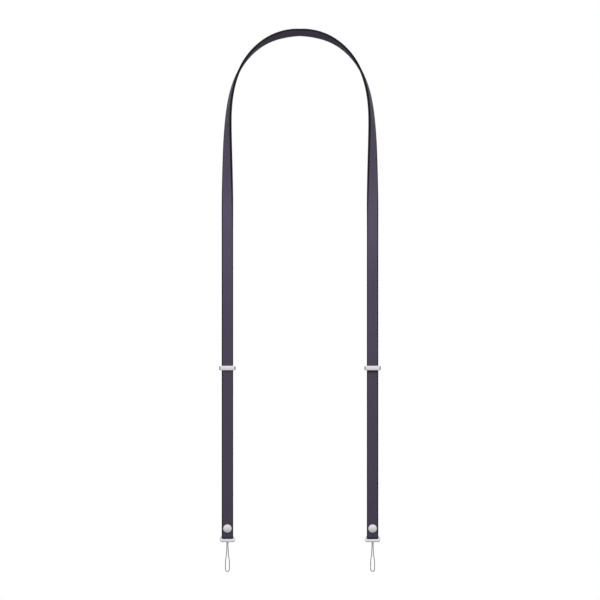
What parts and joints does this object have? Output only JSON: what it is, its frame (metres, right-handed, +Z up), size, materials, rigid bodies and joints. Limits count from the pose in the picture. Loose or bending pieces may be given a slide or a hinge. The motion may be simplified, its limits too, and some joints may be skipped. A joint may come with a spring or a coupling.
{
  "type": "phone crossbody strap",
  "caption": "Phone crossbody strap of woven band, doubled over the shoulder, with metal sliders, riveted end links and thin cord loops, hanging from its shoulder bend.",
  "frame": {"origin": "middle of the underside of the shoulder bend, where the strap lies on a shoulder", "axes": "+Z up, -Y towards the front, where the two legs hang, and +X from the left leg to the right leg as seen from the front"},
  "size_m": [0.1698, 0.095, 0.5689],
  "materials": {
    "band": "finely woven dark violet-grey band, matt",
    "slider": "satin steel",
    "end_link": "satin steel",
    "rivet": "satin steel",
    "cord": "light grey braided cord"
  },
  "bodies": {
    "strap": {"outer_band": "band", "inner_band": "band", "left_slider": "slider", "right_slider": "slider", "left_rivet": "rivet", "right_rivet": "rivet", "left_rivet_washer": "rivet", "right_rivet_washer": "rivet"},
    "left_link": {"left_end_link": "end_link", "left_cord_loop": "cord"},
    "right_link": {"right_end_link": "end_link", "right_cord_loop": "cord"}
  },
  "joints": [
    {"name": "left_link_swing", "type": "hinge", "parent": "strap", "child": "left_link", "pos_m": [-0.076, -0.08486, -0.52698], "axis": [1, 0, 0], "range_deg": [-80, 80]},
    {"name": "right_link_swing", "type": "hinge", "parent": "strap", "child": "right_link", "pos_m": [0.076, -0.08344, -0.52698], "axis": [1, 0, 0], "range_deg": [-80, 80]}
  ]
}
